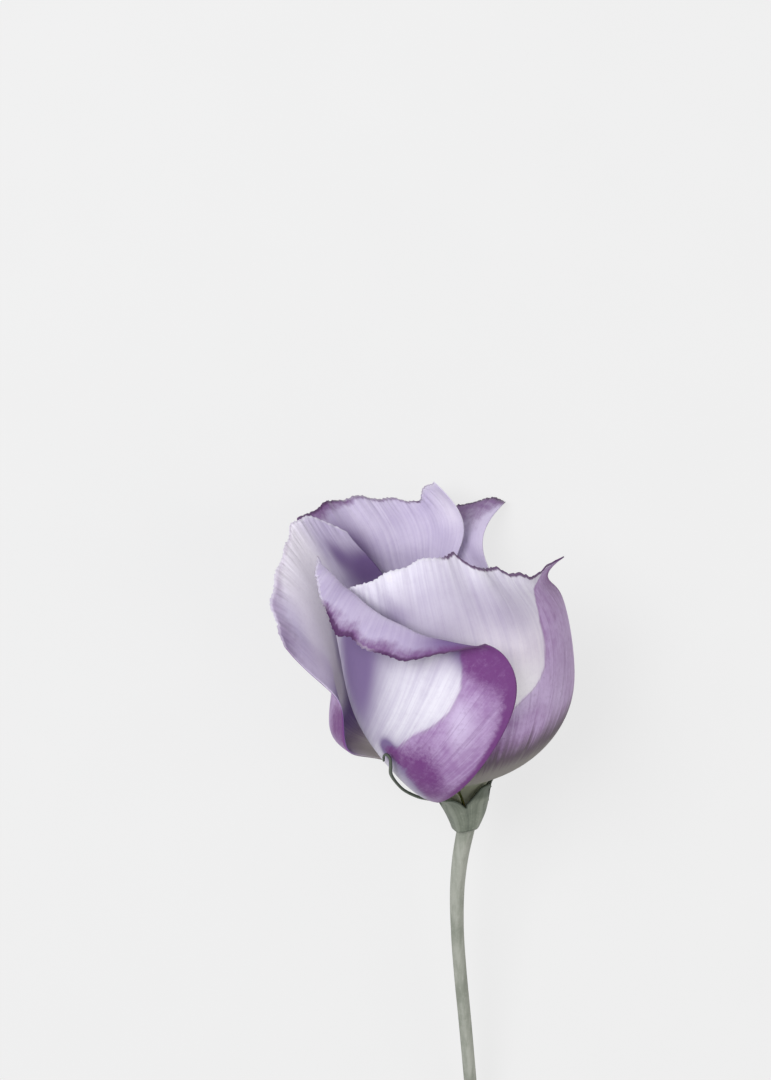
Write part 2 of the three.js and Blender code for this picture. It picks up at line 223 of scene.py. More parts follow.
# The bloom has its own frame: its axis points up, azimuths turn round it, and height 0 is where the petals
# leave the calyx. A petal is a smooth sheet over a net of (azimuth, distance from the axis, height), with
# rows from the bowl over the belly, the wall, the neck and the flare to the rim, and each row from the inner
# to the outer margin. Places on a petal run from 0 to 1, across it and along it.
# "middle" is the azimuth of the petal's foot. "waves", "phase" and "ruffle" shape the waves of the rim, and
# "lift" carries it on by some millimetres at places across the petal.
# "fringe" is how deep the purple of the rim reaches down the inner side, "stain" how strong it is, and "ink"
# how dark and wide the line on the edge. "colour_line" is where white turns to purple, for places along the
# petal. "slant" is how far the streaks run sideways, "foot" the place along the petal below which it turns
# green, and "warm" how rosy its white becomes towards the foot.
# Each petal also has soft patches, darker or, below zero, paler: place across and along, spread each way,
# strength.
# Most are painted shade, under rolled rims, deep in the cup and where one petal shades the next, or painted
# light, where a petal lying in shade is painted paler; a few are the petal's own paler or deeper purple.
PETALS = {
    "petal_front_left": {
        "middle": -132, "waves": 4, "phase": 0.15, "ruffle": 0.2,
        "net": [
            [(-178, 13, 16), (-159, 14, 16), (-143, 15, 8), (-132, 16, 3.8), (-122, 16.3, 2.8)],
            [(-185, 20.5, 21.5), (-158, 22.8, 21), (-131, 25.2, 13.2), (-105, 26.5, 8.5), (-89, 26.5, 9.5)],
            [(-185, 20.8, 33), (-155, 24.3, 32.5), (-120, 28.3, 28), (-85, 30.5, 27), (-58, 31, 28)],
            [(-187, 21.5, 50), (-150, 21.5, 54), (-118, 23, 47), (-88, 27.5, 43), (-60, 30, 39)],
            [(-186, 21, 56), (-155, 20.5, 62), (-124, 24, 57), (-92, 28, 49), (-66, 29.5, 42)],
            [(-188, 22, 57.5), (-158, 25.5, 57.5), (-133, 33.5, 48), (-104, 34.5, 42.5), (-70, 30, 43.5)],
        ],
        "lift": [(0, 0), (0.3, -0.5), (0.45, 0), (0.5, 0.6), (0.55, -0.6), (0.65, -0.9), (0.8, 0.2),
                 (0.9, -0.6), (1, 0)],
        "fringe": [(0, 0), (0.28, 0), (0.36, 1.8), (0.46, 3.8), (0.52, 4.2), (0.57, 3), (0.61, 2.2),
                   (0.68, 3.6), (0.8, 2.8), (1, 4)],
        "ink": [(0, 0), (0.3, 0), (0.4, 0.9), (0.46, 2), (0.54, 1.6), (0.6, 0.4), (0.66, 0.3),
                (0.72, 0.9), (1, 0.7)],
        "colour_line": [(0, 0.9), (0.42, 0.85), (0.47, 0.74), (0.5, 0.66), (0.535, 0.6), (0.555, 0.47),
                        (0.575, 0.5), (0.59, 0.56), (0.62, 0.62), (0.656, 0.715), (0.69, 0.787),
                        (0.74, 0.833), (0.8, 0.855), (0.88, 0.875), (1, 0.93)],
        "shade_light_and_tint": [(0.3, 0.72, 0.14, 0.18, 0.9), (0.16, 0.72, 0.15, 0.17, 0.35),
                 (0.45, 0.75, 0.15, 0.12, 0.2), (0.83, 0.655, 0.06, 0.09, -0.85),
                 (0.9, 0.57, 0.06, 0.08, -0.45), (0.96, 0.87, 0.14, 0.13, 1.45),
                 (1.02, 0.68, 0.06, 0.25, 1), (0.58, 0.545, 0.12, 0.06, 0.55),
                 (0.76, 0.525, 0.16, 0.1, 0.85), (0.87, 0.46, 0.12, 0.06, 0.5),
                 (0.5, 0.565, 0.045, 0.025, 1.5), (0.6, 0.96, 0.5, 0.06, 0.36),
                 (0.5, 0.82, 0.25, 0.07, 0.42)],
        "slant": 1, "foot": 0.36, "warm": 0, "stain": 0.92,
    },
    "petal_front_right": {
        "middle": -60, "waves": 4.5, "phase": 0.4, "ruffle": 0.4,
        "net": [
            [(-124, 14.5, 6), (-92, 16, 5.6), (-62, 17, 5.8), (-38, 17.8, 6), (-16, 18.4, 5.4)],
            [(-128, 21.5, 15), (-98, 24.5, 14), (-62, 27.5, 13.5), (-25, 28.2, 14), (2, 29, 15)],
            [(-131, 22.5, 30), (-98, 26.5, 30), (-60, 28.8, 30), (-18, 32.6, 30.5), (28, 33.2, 29)],
            [(-133, 20.5, 42), (-105, 23.5, 44), (-66, 25.5, 45), (-20, 30, 42), (24, 31.5, 38)],
            [(-142, 19.5, 50), (-112, 20, 53), (-70, 20, 56), (-30, 24, 47.5), (4, 24, 45)],
            [(-148, 19.5, 54.5), (-118, 18, 56.5), (-63, 15.5, 66), (-34, 21.5, 46.5), (-6, 31.5, 50.5)],
        ],
        "lift": [(0, -0.4), (0.1, 0), (0.49, -0.1), (0.54, 1.4), (0.6, -0.8), (0.645, -1), (0.69, 0),
                 (0.745, 1.6), (0.79, 0), (0.83, 0.5), (0.88, -1), (0.95, -0.8), (1, -1.5)],
        "fringe": [(0, 1), (0.4, 0.8), (0.6, 2), (0.8, 2), (1, 4)],
        "ink": [(0, 0), (0.42, 0), (0.5, 1), (0.9, 1), (1, 0.8)],
        "colour_line": [(0, 0.15), (0.4, 0.25), (0.48, 0.3), (0.55, 0.38), (0.6, 0.46), (0.63, 0.56),
                        (0.655, 0.64), (0.68, 0.68), (0.73, 0.707), (0.8, 0.735), (0.853, 0.782),
                        (0.91, 0.85), (0.97, 0.935), (1, 0.97)],
        "shade_light_and_tint": [(0.43, 0.53, 0.2, 0.05, 0.5), (0.15, 0.9, 0.12, 0.05, 0.5),
                 (0.3, 0.83, 0.14, 0.05, 0.35), (0.45, 0.92, 0.25, 0.1, 0.4),
                 (0.66, 0.83, 0.18, 0.1, 0.27), (0.8, 0.9, 0.15, 0.15, 0.2),
                 (0.98, 0.85, 0.08, 0.2, 0.4), (0.55, 0.66, 0.14, 0.08, -0.8),
                 (0.74, 0.56, 0.09, 0.07, -0.4), (0.8, 0.73, 0.1, 0.15, -0.35)],
        "slant": 0.35, "foot": 0.53, "warm": 1, "stain": 0.92,
    },
    "petal_right": {
        "middle": 12, "waves": 3.5, "phase": 0.3, "ruffle": 0.25,
        "net": [
            [(-36, 14.8, 8), (-12, 15.8, 6.7), (12, 16.7, 5), (36, 17.5, 3.4), (60, 18.4, 2.2)],
            [(-33, 23.5, 16.5), (-8, 25.5, 15.5), (18, 27.3, 14.5), (46, 27.5, 14), (74, 28.2, 14)],
            [(25, 25, 25), (38, 27, 28), (52, 27.5, 31), (70, 28.3, 33), (96, 29, 34)],
            [(61, 26, 40), (66, 27, 42), (76, 28, 43), (92, 29, 44), (112, 30, 44)],
            [(62, 27, 50), (68, 28, 50), (80, 29, 51), (96, 30, 51), (112, 31.5, 50)],
            [(59, 40.3, 51.5), (66, 38.9, 52), (78, 36.7, 51.5), (94, 34.5, 50), (112, 33, 49.5)],
        ],
        "lift": [(0, 0), (0.05, 0.3), (0.1, 1), (0.15, 1.8), (0.2, 1.5), (0.26, 0.9), (0.36, 0.9),
                 (0.5, 0), (1, 0)],
        "fringe": [(0, 2), (0.1, 10), (0.3, 12), (0.5, 5), (1, 3)],
        "ink": [(0, 0.4), (0.1, 1), (1, 0.8)],
        "colour_line": [(0, 0.2), (0.4, 0.33), (0.5, 0.5), (0.6, 0.65), (0.7, 0.75), (0.85, 0.83),
                        (1, 0.92)],
        "shade_light_and_tint": [(0.15, 0.9, 0.3, 0.15, 0.3)],
        "slant": 0, "foot": 0.36, "warm": 0.6, "stain": 0.8,
    },
    "petal_back": {
        "middle": 84, "waves": 4, "phase": 0.05, "ruffle": 0.2,
        "net": [
            [(36, 14.5, 5.5), (50, 15.3, 4.5), (68, 16, 3.8), (88, 16.8, 3), (108, 17.5, 2.3),
             (134, 18.4, 2)],
            [(26, 23, 16), (44, 24.5, 15.5), (66, 25.5, 15), (92, 26.7, 14.5), (118, 29, 14),
             (146, 30.3, 14)],
            [(56, 23, 32), (66, 24, 32), (78, 25.5, 32), (96, 27, 32), (120, 29.5, 32), (150, 31, 33)],
            [(84, 24, 44), (87, 25, 45), (91, 26, 45), (102, 27.5, 45), (122, 29.5, 46), (152, 30.5, 46)],
            [(58, 27, 51), (66, 27, 53), (82, 27, 50), (100, 28, 51), (124, 30, 54), (148, 31, 54)],
            [(80, 27, 62), (84, 30, 60), (89, 36, 53.5), (106, 40.5, 58.5), (124, 38.5, 60.5),
             (138, 34.5, 60.5)],
        ],
        "lift": [(0, 0), (0.2, 0), (0.29, -2), (0.35, -0.9), (0.45, 0), (0.65, -0.9), (0.8, -0.3),
                 (0.86, -0.8), (0.9, -1.3), (0.95, -0.7), (1, -0.4)],
        "fringe": [(0, 0), (0.25, 0.4), (0.4, 1), (0.7, 1.2), (0.85, 3.5), (1, 5)],
        "ink": [(0, 0.1), (0.25, 0.2), (0.3, 0.7), (0.38, 0.15), (0.75, 0.2), (0.85, 1), (1, 0.6)],
        "colour_line": [(0, 0.2), (0.4, 0.33), (0.5, 0.5), (0.6, 0.65), (0.7, 0.75), (0.85, 0.83),
                        (1, 0.92)],
        "shade_light_and_tint": [(0.08, 0.96, 0.1, 0.05, -0.5), (0.45, 0.93, 0.3, 0.15, 0.2),
                 (0.9, 0.87, 0.14, 0.1, 1.2)],
        "slant": 0, "foot": 0.36, "warm": 0.6, "stain": 0.92,
    },
    "petal_left": {
        "middle": 156, "waves": 4.5, "phase": 0.6, "ruffle": 0.12,
        "net": [
            [(108, 14.5, 7), (130, 16, 6.3), (156, 17.5, 10), (182, 19, 15), (211, 19.5, 15.5)],
            [(100, 24, 16), (128, 26.5, 15), (156, 29, 15.5), (184, 31.5, 16.8), (220, 31.5, 20)],
            [(104, 25, 34), (130, 27.5, 33), (155, 26, 31), (178, 22, 28), (203, 23, 27)],
            [(115, 24, 47), (135, 26, 46), (160, 26, 43), (182, 25, 37), (200, 26.5, 32.5)],
            [(124, 25, 52), (144, 27, 55), (166, 27, 54), (188, 27.5, 47), (200, 31.5, 39.5)],
            [(127, 25.5, 55.5), (146, 31.5, 67), (170, 29, 60), (190, 35.5, 51.5), (200, 34, 45)],
        ],
        "lift": [(0, 0), (0.3, -0.5), (0.38, -0.9), (0.46, -0.8), (0.65, 0), (0.8, 0.3), (0.9, -0.3),
                 (1, -1)],
        "fringe": [(0, 0), (0.2, 0), (0.35, 0.8), (0.6, 1.6), (0.75, 3.5), (0.9, 7), (1, 7)],
        "ink": [(0, 0), (0.24, 0), (0.32, 0.2), (0.6, 0.1), (0.85, 0.1), (1, 0.3)],
        "colour_line": [(0, 0.2), (0.4, 0.4), (0.5, 0.55), (0.6, 0.65), (0.7, 0.75), (0.85, 0.83),
                        (1, 0.92)],
        "shade_light_and_tint": [(0.48, 0.93, 0.25, 0.14, -1.5), (0.04, 0.84, 0.15, 0.1, 1.1),
                 (0.14, 0.92, 0.05, 0.05, 0.6), (0.82, 0.78, 0.18, 0.13, -1.2),
                 (0.92, 0.97, 0.14, 0.08, 0.35), (0.94, 0.61, 0.12, 0.11, 1.1),
                 (0.62, 0.7, 0.12, 0.14, -1.3), (0.5, 0.58, 0.1, 0.07, -1),
                 (0.93, 0.39, 0.15, 0.05, -1.2)],
        "slant": 0, "foot": 0.47, "warm": 0.6, "stain": 0.4,
    },
}


def claw(middle, stations):
    """Net rows of a petal's narrow foot: root on the receptacle, throat in the calyx, collar above it."""
    root, throat, collar = [], [], []
    for across in np.linspace(0, 1, stations):
        root.append((middle - 30 + 60 * across, 3.3 + 0.5 * across, -5))
        throat.append((middle - 32 + 64 * across, 3.8 + 0.6 * across, -1.2 - 0.3 * across))
        collar.append((middle - 36 + 72 * across, 4.6 + across, 3.4 - across))
    return [root, throat, collar]


def spline_weights(count, places):
    """Weights of the control points of a cubic spline that starts and ends on the first and last."""
    knots = np.concatenate([np.zeros(3), np.linspace(0, 1, count - 2), np.ones(3)])
    places = np.clip(places, 0, 1 - 1e-9)[..., None]
    weights = ((knots[:-1] <= places) & (places < knots[1:])).astype(float)
    for degree in (1, 2, 3):
        left, right = knots[: -degree - 1], knots[degree + 1:]
        rise = places - left[: len(left)]
        span_left = knots[degree:-1] - knots[: -degree - 1]
        span_right = knots[degree + 1:] - knots[1:-degree]
        up = np.divide(rise, span_left, out=np.zeros(rise.shape), where=span_left > 0)
        fall = right - places
        down = np.divide(fall, span_right, out=np.zeros(fall.shape), where=span_right > 0)
        weights = up * weights[..., :-1] + down * weights[..., 1:]
    return weights


def smooth(value, low, high):
    share = np.clip((value - low) / (high - low), 0, 1)
    return share * share * (3 - 2 * share)


def unit(vectors):
    return vectors / np.maximum(np.linalg.norm(vectors, axis=-1, keepdims=True), 1e-9)


def along_rows(points, axis):
    """Length of the sheet from its start along an axis of its grid."""
    steps = np.linalg.norm(np.diff(points, axis=axis), axis=-1)
    start = np.zeros_like(np.take(steps, [0], axis))
    return np.concatenate([start, np.cumsum(steps, axis)], axis)


def petal_sheet(petal, across, along):
    """Points of a petal at a grid of places, with its ruffles, and the fields that its colours follow."""
    rows = claw(petal["middle"], len(petal["net"][0])) + petal["net"]
    net = np.array(rows, float)
    angle = np.radians(net[..., 0])
    net = np.stack([net[..., 1] * np.cos(angle), net[..., 1] * np.sin(angle), net[..., 2]], -1)

    def at(s, t):
        up, sideways = spline_weights(len(net), t), spline_weights(len(net[0]), s)
        return np.einsum("...i,...j,ijk->...k", up, sideways, net)

    turn = 2 * np.pi * (petal["waves"] * across + petal["phase"])
    place = along * (1 - RAGGED * (1 + np.sin(1.37 * turn)))
    rim = smooth(place, RIM_ZONE, 1)
    step = 1e-3
    above, below = np.minimum(place + step, 1), np.maximum(place - step, 0)
    right, left = np.minimum(across + step, 1), np.maximum(across - step, 0)
    lengthwise = unit(at(across, above) - at(across, below))
    crosswise = unit(at(right, place) - at(left, place))
    outward = unit(np.cross(crosswise, lengthwise))
    points = at(across, place)
    ruffle = petal["ruffle"] * rim ** 2 * (np.sin(turn) + 0.4 * np.sin(1.6 * turn + 1))

    # Near the edge finer waves of several lengths cross, so that the crimp never repeats.
    edge = smooth(along, CRIMP_ZONE, 1)
    crimp = edge ** 2 * (
        0.12 * np.sin(2.9 * turn + 2 * np.sin(1.1 * turn))
        + 0.07 * np.sin(5.1 * turn + 1.5 * np.sin(2.3 * turn) + 2)
        + 0.03 * np.sin(11.7 * turn + 1)
    )
    lift = np.interp(across, *zip(*petal["lift"])) * edge
    scallop = edge ** 3 * (0.12 * np.sin(8.3 * turn) + 0.1 * np.sin(14.9 * turn + np.sin(2 * turn)))
    points = points + outward * (ruffle + crimp)[..., None]
    points = points + lengthwise * (lift + scallop)[..., None]

    up = along_rows(points, 0)
    sideways = along_rows(points, 1)
    from_rim = up[-1:] - up
    colour_line = np.interp(along, *zip(*petal["colour_line"]))
    width = sideways[:, -1:]
    return points, {
        "from_rim": from_rim,
        "from_right": width - sideways,
        "blush": (across - colour_line) * width,
        "fringe": from_rim / np.maximum(np.interp(across, *zip(*petal["fringe"])), 0.1),
        "ink": np.interp(across, *zip(*petal["ink"])) * np.ones_like(from_rim),
        "foot": along - petal["foot"],
        "warm": petal["warm"] * np.ones_like(from_rim),
        "stain": petal["stain"] * np.ones_like(from_rim),
        # Soft patches of painted shade and painted light, with a few of the petal's own paler or deeper
        # purple.
        "shade_light_and_tint": sum(strength * np.exp(-((across - s) / wide) ** 2 - ((along - t) / high) ** 2)
                    for s, t, wide, high, strength in petal["shade_light_and_tint"]),
    }


SHADED_WHITE, BRIGHT_WHITE, PAINTED_LIGHT_WHITE = (0.68, 0.64, 0.75), (0.88, 0.865, 0.92), (0.95, 0.94, 0.95)
WHITE_STREAK, ROSY_WHITE, VIOLET_SHADE = (0.58, 0.49, 0.66), (0.70, 0.61, 0.67), (0.22, 0.15, 0.32)
MAUVE, PALE_MAUVE, LIT_AND_PALE_MAUVE = (0.38, 0.22, 0.45), (0.56, 0.41, 0.65), (0.72, 0.62, 0.82)
DEEP_PURPLE, VEIN_PURPLE, SEAM_PURPLE = (0.19, 0.05, 0.225), (0.17, 0.05, 0.21), (0.19, 0.06, 0.235)
FOOT_BROWN, FOOT_GREY, FOOT_GREEN = (0.17, 0.135, 0.14), (0.42, 0.405, 0.37), (0.45, 0.47, 0.385)
LILAC, PALE_LILAC, PAINTED_LIGHT_LILAC = (0.58, 0.51, 0.69), (0.72, 0.66, 0.80), (0.95, 0.91, 0.97)
LILAC_STREAK, LILAC_SHADE, THROAT_VIOLET_AND_SHADE = (0.46, 0.37, 0.58), (0.215, 0.135, 0.32), (0.21, 0.12, 0.34)
HEART_CREAM, HEART_GREEN = (0.88, 0.82, 0.82), (0.76, 0.80, 0.56)
RIM_PURPLE, RIM_WHITE, INK_PURPLE = (0.165, 0.055, 0.205), (0.90, 0.88, 0.94), (0.09, 0.025, 0.11)
GRAIN_PURPLE = (0.3, 0.2, 0.36)


def petal_skin():
    skin = Skin("petal_skin")
    across, along = skin.uv_place("petal")
    spot = skin.object_place()
    from_rim = skin.attribute("from_rim")
    from_right = skin.attribute("from_right")
    blush = skin.attribute("blush")
    fringe = skin.attribute("fringe")
    ink = skin.attribute("ink")
    shade_light_and_tint = skin.attribute("shade_light_and_tint")
    foot = skin.attribute("foot")
    warm = skin.attribute("warm") * along.between(0.97, 0.65)
    stain = skin.attribute("stain")
    inside = skin.attribute("inside").between(0.4, 0.6)
    # Patches above zero darken: most are painted shade, a few the petal's deeper purple. Below zero they
    # lighten: most are painted light, a few its paler purple.
    shade_and_dark_tint = shade_light_and_tint.between(0, 1)
    light_and_pale_tint = shade_light_and_tint.between(0, -1)

    # Long streaks that run up the petal, broad and fine, the cloudy change of tone over it, and its grain.
    streak = skin.noise(skin.vector(across * 46, along * 2.2), 1, 3, 0.6)
    hair = skin.noise(skin.vector(across * 150, along * 5, 4), 1, 2, 0.6)
    cloud = skin.noise(spot, 110, 2, 0.5)
    blotch = skin.noise(spot, 420, 3, 0.6)
    grain = skin.noise(spot, 1100, 3, 0.7)

    # Veins are thin dark lines where a slow noise along the petal crosses its middle value.
    vein_field = skin.noise(skin.vector(across * 30, along * 2.4, 7), 1, 2, 0.6)
    vein = 1 - abs(vein_field - 0.5).between(0, 0.03)

    # Outer side: white under the neighbour, mauve where it was bare, dark at its margin and mottled,
    # with soft patches of painted shade and painted light.
    clouded = (streak * 0.6 + cloud * 0.5).between(0.35, 0.7)
    white = skin.mix(clouded, SHADED_WHITE, BRIGHT_WHITE)
    white = skin.mix(hair.between(0.5, 0.8) * (0.22 + warm * 0.25), white, WHITE_STREAK)
    white = skin.mix(warm * (0.2 + streak * 0.6), white, ROSY_WHITE)
    # Painted light and painted shade on the white, from the patches.
    white = skin.mix(light_and_pale_tint, white, PAINTED_LIGHT_WHITE)
    white = skin.mix(shade_and_dark_tint, white, VIOLET_SHADE)
    marbled = (streak * 0.4 + cloud * 0.35 + blotch * 0.45).between(0.45, 0.72)
    mauve = skin.mix(marbled, MAUVE, PALE_MAUVE)
    # Paler patches on the mauve: partly its own paler streaks, partly painted light.
    mauve = skin.mix(light_and_pale_tint, mauve, LIT_AND_PALE_MAUVE)
    # Darker at the right margin and under the darker patches, which on the mauve are mostly its own deeper
    # purple and partly painted shade.
    deep = from_right.between(2.6, 0.2) * 0.5 + shade_and_dark_tint * (0.85 + streak.between(0.25, 0.65) * 0.2)
    mottled = (blotch - 0.5) * 0.9 + (grain - 0.5) * 0.9
    mauve = skin.mix((deep + mottled).between(-0.1, 1.1), mauve, DEEP_PURPLE)
    mauve = skin.mix(vein * 0.22, mauve, VEIN_PURPLE)

    # The line between the two is sharp near the rim and blurs towards the foot.
    blur = along.between(0.8, 0.55)
    ragged = blush + (streak - 0.5) * (1.1 + blur * 5) + (hair - 0.5) * (0.5 + blur * 2.5)
    bare = ragged.between(-0.4 - blur * 1.2, 0.5 + blur * 1.2)
    seam = blush.between(-0.3, 0.2) * blush.between(1.2, 0.2)
    outer = skin.mix(bare, white, mauve)
    outer = skin.mix(seam * 0.25, outer, SEAM_PURPLE)
    foot = foot + (streak - 0.5) * 0.12
    outer = skin.mix(foot.between(0.03, -0.06) * 0.85, outer, FOOT_BROWN)
    outer = skin.mix(foot.between(-0.04, -0.12), outer, FOOT_GREY)
    outer = skin.mix(foot.between(-0.14, -0.26), outer, FOOT_GREEN)

    # Inner side: lilac, violet in the throat (partly its own colour, partly painted shade), pale green at
    # the heart, and stained purple along the rim.
    lilac = skin.mix(clouded, LILAC, PALE_LILAC)
    lilac = skin.mix(hair.between(0.5, 0.8) * 0.25, lilac, LILAC_STREAK)
    # Painted light and painted shade on the lilac, from the patches; the dark hollow of the cup is painted
    # shade.
    lilac = skin.mix(light_and_pale_tint, lilac, PAINTED_LIGHT_LILAC)
    lilac = skin.mix(shade_and_dark_tint, lilac, LILAC_SHADE)
    # Violet deeper in the cup, partly its own colour and partly painted shade, except where painted light
    # lies.
    lilac = skin.mix(along.between(0.85, 0.5) * (1 - light_and_pale_tint), lilac, THROAT_VIOLET_AND_SHADE)
    stained = (fringe + (hair - 0.5) * 0.45 + (blotch - 0.5) * 1.2).between(1.25, 0.1)
    inner = skin.mix(stained * stain, lilac, RIM_PURPLE)
    inner = skin.mix(foot.between(0.04, -0.14), inner, HEART_CREAM)
    inner = skin.mix(foot.between(-0.12, -0.3), inner, HEART_GREEN)

    # Both sides end in a pale rim, with a dark line on it where the ink is strong.
    colour = skin.mix(inside, outer, inner)
    rim_band = from_rim.between(0.75, 0.25)
    colour = skin.mix(rim_band * (1 - ink) * 0.45, colour, RIM_WHITE)
    line = (from_rim - ink * 0.6).between(0.5, -0.15) * ink.between(0, 0.9)
    colour = skin.mix(line * 0.9, colour, INK_PURPLE)
    colour = skin.mix(grain.between(0.45, 0.75) * 0.08, colour, GRAIN_PURPLE)

    skin.set(
        Base_Color=colour,
        Roughness=0.5 + 0.12 * streak,
        Specular_IOR_Level=0.35,
        Sheen_Weight=0.12,
        Sheen_Roughness=0.4,
    )
    skin.bump(streak * 0.8 + hair * 0.35 + vein * -0.3 + grain * 0.15, 0.2, 0.00025)
    glow = skin.add("ShaderNodeBsdfTranslucent", {}, colour)
    body = Shade(skin, skin.surface.outputs[0])
    thinness = 0.3 + foot.between(0.02, -0.08) * 0.35
    through = skin.add("ShaderNodeMixShader", {}, thinness, body, glow)
    skin.links.new(through.socket, skin.nodes["Material Output"].inputs["Surface"])
    return skin.material


def keep(name, mesh_source, material, nodes):
    """Makes a finished bmesh a piece of the flower, in place of its solid."""
    mesh = bpy.data.meshes.new(name)
    for face in mesh_source.faces:
        face.smooth = True
    mesh_source.to_mesh(mesh)
    mesh_source.free()
    piece = bpy.data.objects.new(name, mesh)
    scene.collection.objects.link(piece)
    mesh.materials.append(material)
    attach(piece, "root")
    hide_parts(*nodes)
    return piece


def settle(name, mesh_source, material, nodes):
    """Keeps a bmesh that was made in millimetres of the bloom's own frame."""
    place = Matrix.Translation(RECEPTACLE / 1000) @ bloom_turn.to_4x4() @ Matrix.Scale(0.001, 4)
    bmesh.ops.transform(mesh_source, matrix=place, verts=mesh_source.verts)
    return keep(name, mesh_source, material, nodes)


def petal_mesh(petal):
    """A petal's closed shell, with its UV map and the fields that its colours follow."""
    sheet = bmesh.new()
    uv = sheet.loops.layers.uv.new("petal")
    bmesh.ops.create_grid(sheet, x_segments=COLUMNS, y_segments=ROWS, size=1)
    sheet.verts.ensure_lookup_table()
    flat = np.array([v.co[:2] for v in sheet.verts]).reshape(ROWS + 1, COLUMNS + 1, 2)
    across, along = (flat[..., 0] + 1) / 2, (flat[..., 1] + 1) / 2
    points, fields = petal_sheet(petal, across, along)
    layers = {name: sheet.verts.layers.float.new(name) for name in [*fields, "inside"]}
    for vertex, point, s, t in zip(sheet.verts, points.reshape(-1, 3), across.flat, along.flat):
        vertex.co = point
        for loop in vertex.link_loops:
            loop[uv].uv = (s - petal["slant"] * (t - 0.5), t)
    for name, values in fields.items():
        layer = layers[name]
        for vertex, value in zip(sheet.verts, values.flat):
            vertex[layer] = value
    # The sheet becomes the inner side. A copy of it, moved out by the thickness, becomes the outer side.
    outward = sheet.verts.layers.float_vector.new("outward")
    sheet.normal_update()
    for vertex in sheet.verts:
        vertex[outward] = vertex.normal
        vertex.co -= vertex.normal * BLADE / 2
        vertex[layers["inside"]] = 1
    shell = bmesh.ops.extrude_face_region(sheet, geom=sheet.faces[:], use_keep_orig=True)
    for item in shell["geom"]:
        if isinstance(item, bmesh.types.BMVert):
            item.co += item[outward] * BLADE
            item[layers["inside"]] = 0
    sheet.verts.layers.float_vector.remove(outward)
    bmesh.ops.recalc_face_normals(sheet, faces=sheet.faces[:])
    return sheet


petal_material = petal_skin()
for petal_name, petal in PETALS.items():
    settle(petal_name + "_skin", petal_mesh(petal), petal_material, [petal_name])


# Calyx
# A dull green cup that grew as one piece: five keeled sepals joined below, each ending in a thin needle
# that hugs the petals. The longest one climbs the front left petal and hooks back.
# The cup is a line of (radius, height). Each sepal leaves it at its own azimuth and runs along points of
# (degrees turned, radius, height). It covers HALF_SEPAL degrees to each side at the cup's rim, and narrows
# over SEPAL_TAPER to a needle that is NEEDLE wide to each side.
CUP = [(2.87, -9.8), (3.18, -9), (3.9, -7.2), (4.6, -5.2), (5.3, -3.2)]
SEPALS = [
    (-125, [(0, 5.3, -3.2), (0, 5.9, -1.6), (-1, 7.4, -0.3), (-3, 11.7, 2.2), (-6, 14.9, 4.3),
            (-7, 18.7, 7.9), (-2.5, 23.2, 13.4), (1.5, 25, 16.9), (2.5, 25.4, 18.8), (0.5, 25.3, 19.6),
            (-2, 24.8, 18.8), (-3, 24.6, 17.5)]),
    (-53, [(0, 5.3, -3.2), (4, 5.85, -1.6), (8, 6.45, -0.1), (11, 7, 0.6), (14, 7.8, 1.1)]),
    (19, [(0, 5.3, -3.2), (0, 5.9, -1.6), (0, 6.7, -0.3), (0, 9.5, 1.1), (0, 13.5, 2)]),
    (91, [(0, 5.3, -3.2), (0, 5.9, -1.6), (1, 6.7, -0.3), (2, 9.5, 1.1), (4, 13.5, 2)]),
    (163, [(0, 5.3, -3.2), (0, 5.9, -1.6), (0, 6.7, -0.3), (0, 7.8, 0.6), (0, 9.2, 1.2)]),
]
HALF_SEPAL = 36
SEPAL_TAPER = 6.5
NEEDLE = 0.34
KEEL = 0.4
SEPAL_BLADE = 0.45
SEPAL_COLUMNS, CUP_ROWS, SEPAL_ROWS = 16, 14, 70
LINE_STEPS = 200
BEND_START, BEND = -5, 0.028


def smooth_line(stations, places):
    """A smooth line through stations, at shares of its length."""
    stations = np.array(stations, float)
    steps = np.linspace(0, len(stations) - 1, LINE_STEPS)
    first = np.minimum(steps.astype(int), len(stations) - 2)
    share = (steps - first)[:, None]
    before, after = 2 * stations[0] - stations[1], 2 * stations[-1] - stations[-2]
    ends = np.concatenate([[before], stations, [after]])
    a, b, c, d = (ends[first + i] for i in range(4))
    line = 0.5 * (2 * b + (c - a) * share + (2 * a - 5 * b + 4 * c - d) * share ** 2
                  + (3 * b - a - 3 * c + d) * share ** 3)
    length = np.concatenate([[0], np.cumsum(np.linalg.norm(np.diff(line, axis=0), axis=1))])
    places = np.asarray(places) * length[-1]
    return np.stack([np.interp(places, length, part) for part in line.T], -1), length[-1]


def bend_to_stem(points):
    """Below the petals the axis of the bloom curves over into the stem."""
    below = np.minimum(points[..., 2] - BEND_START, 0)
    points[..., 0] -= BEND * below ** 2
    return points


def polar(azimuth, radius, height):
    angle = np.radians(azimuth)
    return np.stack(np.broadcast_arrays(radius * np.cos(angle), radius * np.sin(angle), height), -1)


